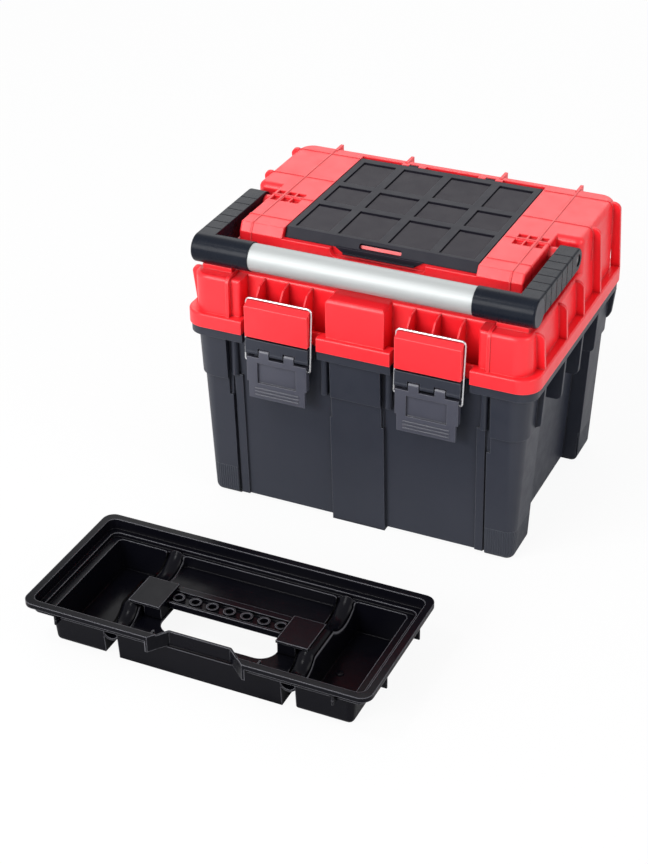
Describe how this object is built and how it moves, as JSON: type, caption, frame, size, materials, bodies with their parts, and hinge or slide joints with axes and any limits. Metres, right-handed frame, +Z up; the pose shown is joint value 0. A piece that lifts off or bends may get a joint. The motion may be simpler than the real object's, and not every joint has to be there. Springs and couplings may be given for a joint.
{
  "type": "tool box",
  "caption": "Moulded tool box with a hinged lid, an organiser under a cover in its top, a swing handle, wire draw latches and a lift-out compartment tray.",
  "frame": {"origin": "on the underside of the bin's middle keel, at floor level, under the centre of the box", "axes": "+X to the right seen from the latches, +Y to the rear, away from the latches, +Z up"},
  "size_m": [0.475, 0.714, 0.3578],
  "materials": {
    "bin_plastic": "fine satin texture, anthracite",
    "lid_plastic": "satin red",
    "cover_plastic": "satin, anthracite",
    "handle_plastic": "satin, anthracite",
    "handle_aluminium": "satin anodised",
    "latch_plastic": "satin, dark grey",
    "latch_wire": "bright plated",
    "pin_steel": "plain drawn",
    "tray_plastic": "gloss black"
  },
  "bodies": {
    "bin": {"bin_body": "bin_plastic", "foot_cap_front_left": "bin_plastic", "foot_cap_front_right": "bin_plastic", "foot_cap_rear_left": "bin_plastic", "foot_cap_rear_right": "bin_plastic", "lid_hinge_pins": "pin_steel", "latch_pin_left": "pin_steel", "latch_pin_right": "pin_steel"},
    "lid": {"lid_shell": "lid_plastic", "cover_hinge_pins": "pin_steel", "handle_pivot_pin_left": "pin_steel", "handle_pivot_pin_right": "pin_steel"},
    "organiser_cover": {"organiser_cover": "cover_plastic"},
    "handle": {"handle_tube": "handle_aluminium", "handle_arm_left": "handle_plastic", "handle_arm_right": "handle_plastic", "handle_end_cap_left": "latch_plastic", "handle_end_cap_right": "latch_plastic"},
    "latch_lever_left": {"latch_lever_left": "latch_plastic"},
    "latch_lever_right": {"latch_lever_right": "latch_plastic"},
    "latch_bail_left": {"latch_bail_left": "latch_wire"},
    "latch_bail_right": {"latch_bail_right": "latch_wire"},
    "tray": {"tray_body": "tray_plastic", "tray_handle": "tray_plastic"}
  },
  "joints": [
    {"name": "lid_hinge", "type": "hinge", "parent": "bin", "child": "lid", "pos_m": [0, 0.18, 0.245], "axis": [-1, 0, 0], "range_deg": [0, 105]},
    {"name": "organiser_cover_hinge", "type": "hinge", "parent": "lid", "child": "organiser_cover", "pos_m": [0, 0.14, 0.3545], "axis": [-1, 0, 0], "range_deg": [0, 100]},
    {"name": "handle_hinge", "type": "hinge", "parent": "lid", "child": "handle", "pos_m": [0, -0.0063, 0.3411], "axis": [-1, 0, 0], "range_deg": [0, 95]},
    {"name": "latch_lever_left_hinge", "type": "hinge", "parent": "bin", "child": "latch_lever_left", "pos_m": [-0.0965, -0.1745, 0.2295], "axis": [-1, 0, 0], "range_deg": [0, 100]},
    {"name": "latch_lever_right_hinge", "type": "hinge", "parent": "bin", "child": "latch_lever_right", "pos_m": [0.0965, -0.1745, 0.2295], "axis": [-1, 0, 0], "range_deg": [0, 100]},
    {"name": "latch_bail_left_hinge", "type": "hinge", "parent": "latch_lever_left", "child": "latch_bail_left", "pos_m": [-0.0965, -0.1745, 0.216], "axis": [-1, 0, 0], "range_deg": [-100, 0]},
    {"name": "latch_bail_right_hinge", "type": "hinge", "parent": "latch_lever_right", "child": "latch_bail_right", "pos_m": [0.0965, -0.1745, 0.216], "axis": [-1, 0, 0], "range_deg": [-100, 0]},
    {"name": "tray_lift", "type": "slide", "parent": "bin", "child": "tray", "axis": [0, 0, 1], "range_m": [0, 0.1]}
  ],
  "couplings": [
    {"joint": "latch_bail_left_hinge", "follows": "latch_lever_left_hinge", "ratio": -1},
    {"joint": "latch_bail_right_hinge", "follows": "latch_lever_right_hinge", "ratio": -1}
  ]
}
